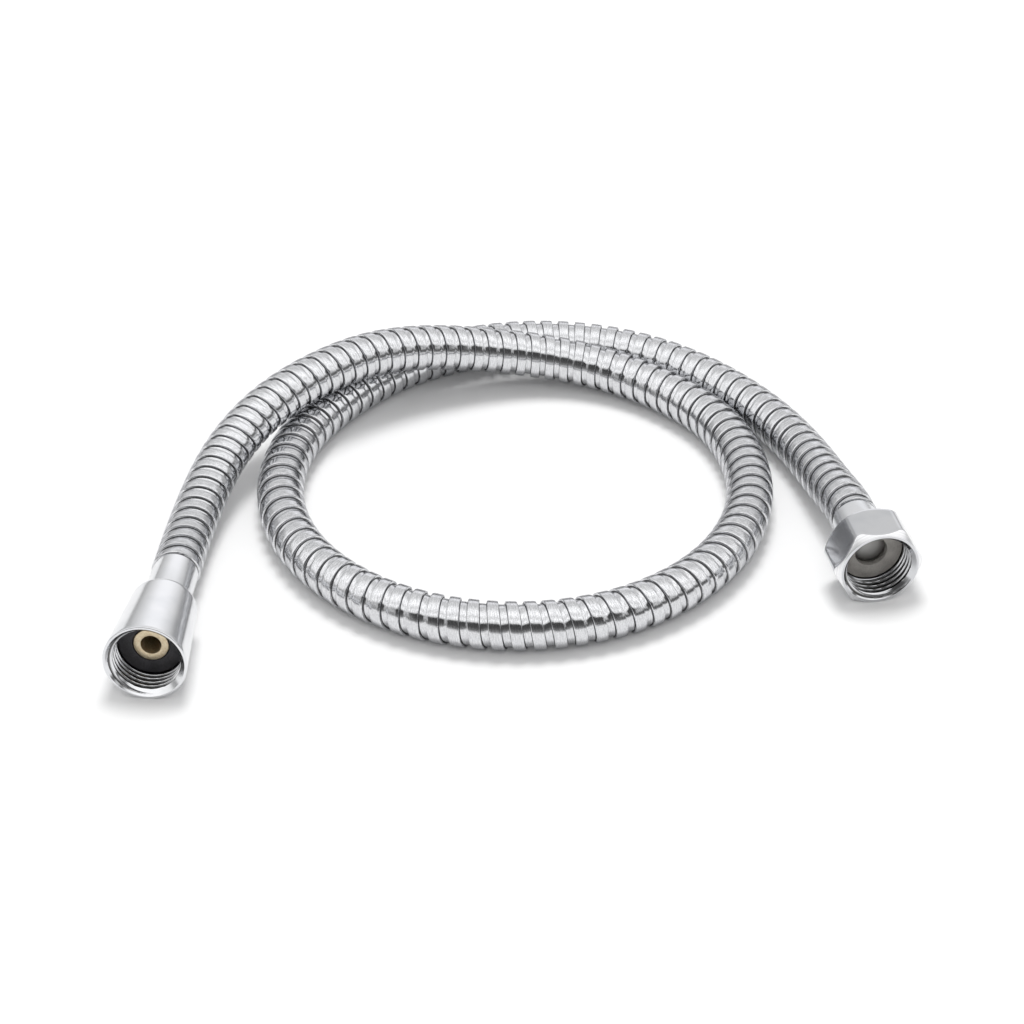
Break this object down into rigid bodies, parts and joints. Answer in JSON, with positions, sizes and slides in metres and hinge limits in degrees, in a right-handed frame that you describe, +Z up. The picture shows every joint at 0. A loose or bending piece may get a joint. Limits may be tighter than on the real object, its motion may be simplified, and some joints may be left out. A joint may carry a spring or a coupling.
{
  "type": "flexible hose",
  "caption": "Flexible chrome shower hose lying in a loop, with a conical and a hexagonal swivel nut, sealing washers and a strainer.",
  "frame": {"origin": "on the surface the hose lies on, under the middle of its bounding box", "axes": "+X from the conical end to the hexagonal end, +Y away from the camera, towards the back of the loop, +Z up"},
  "size_m": [0.2299, 0.1813, 0.0285],
  "materials": {
    "casing_chrome": "bright plated strip with fine scratches",
    "nut_chrome": "bright plated",
    "ferrule_chrome": "satin plated",
    "insert_brass": "pale turned brass",
    "tube_rubber": "matt",
    "washer_black": "matt black",
    "washer_grey": "matt grey",
    "gauze_steel": "fine wire cloth"
  },
  "bodies": {
    "hose": {"hose_casing": "casing_chrome", "inner_tube": "tube_rubber", "cone_ferrule": "ferrule_chrome", "cone_insert": "insert_brass", "cone_washer": "washer_black", "hex_ferrule": "ferrule_chrome", "hex_insert": "insert_brass", "hex_washer": "washer_grey", "strainer_gauze": "gauze_steel"},
    "cone_nut": {"cone_nut": "nut_chrome"},
    "hex_nut": {"hex_nut": "nut_chrome"}
  },
  "joints": [
    {"name": "cone_nut_swivel", "type": "hinge", "parent": "hose", "child": "cone_nut", "pos_m": [-0.1032, -0.0891, 0.01174], "axis": [0.0869, 0.9933, -0.0766], "continuous": true},
    {"name": "hex_nut_swivel", "type": "hinge", "parent": "hose", "child": "hex_nut", "pos_m": [0.1021, -0.0456, 0.01175], "axis": [-0.1994, 0.9799, 0], "continuous": true}
  ]
}
